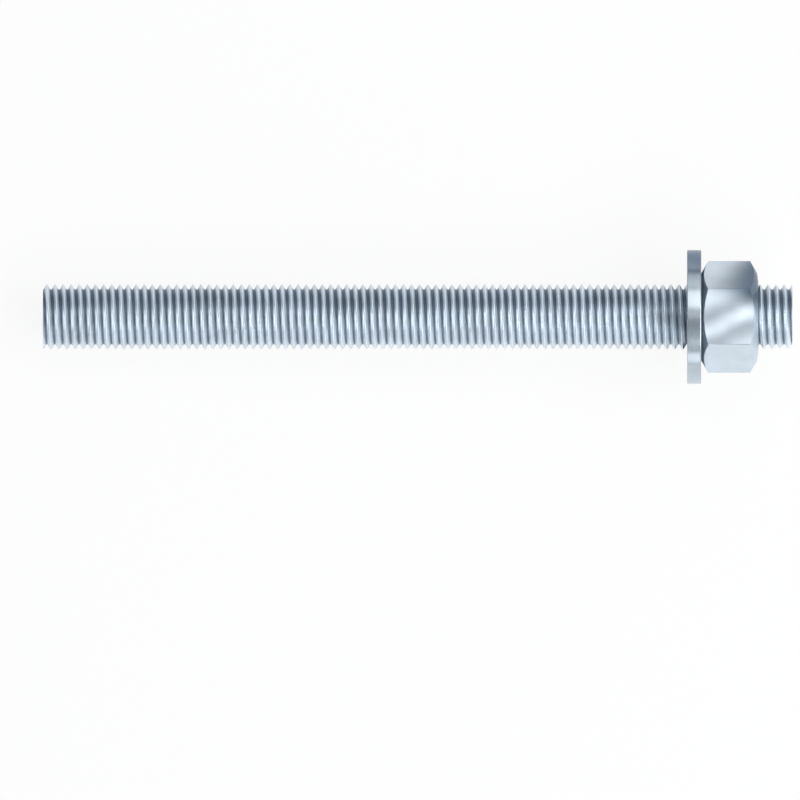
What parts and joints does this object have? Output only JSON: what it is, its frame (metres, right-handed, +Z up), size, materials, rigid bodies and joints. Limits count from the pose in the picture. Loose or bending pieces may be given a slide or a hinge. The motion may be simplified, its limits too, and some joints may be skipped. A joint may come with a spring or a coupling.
{
  "type": "chemical anchor rod",
  "caption": "Fully threaded steel rod with a flat washer and a hex nut near one end, set in resin to fix a plate to concrete.",
  "frame": {"origin": "on the surface that the rod lies on, below the middle of the rod's length and midway across it", "axes": "+Z up from that surface; +X along the rod as seen from above, from its embedded end to its nut end; the rod's own axis lies in the XZ plane and rises 3.06 degrees towards +X; +Y to the left of +X"},
  "size_m": [0.1856, 0.033, 0.0331],
  "materials": {
    "zinc_plated_steel": "bluish bright zinc plating, satin to polished"
  },
  "bodies": {
    "rod": {"threaded_rod": "zinc_plated_steel"},
    "washer": {"washer": "zinc_plated_steel"},
    "nut": {"hex_nut": "zinc_plated_steel"}
  },
  "joints": [
    {"name": "washer_travel", "type": "slide", "parent": "rod", "child": "washer", "axis": [0.9986, 0, 0.0534], "range_m": [-0.1591, 0.0085]},
    {"name": "nut_turn", "type": "hinge", "parent": "washer", "child": "nut", "pos_m": [0.0699, 0, 0.01665], "axis": [0.9986, 0, 0.0534], "range_deg": [-28620, 1512]}
  ],
  "couplings": [
    {"joint": "washer_travel", "follows": "nut_turn", "m_per_rad": 0.00031831}
  ]
}
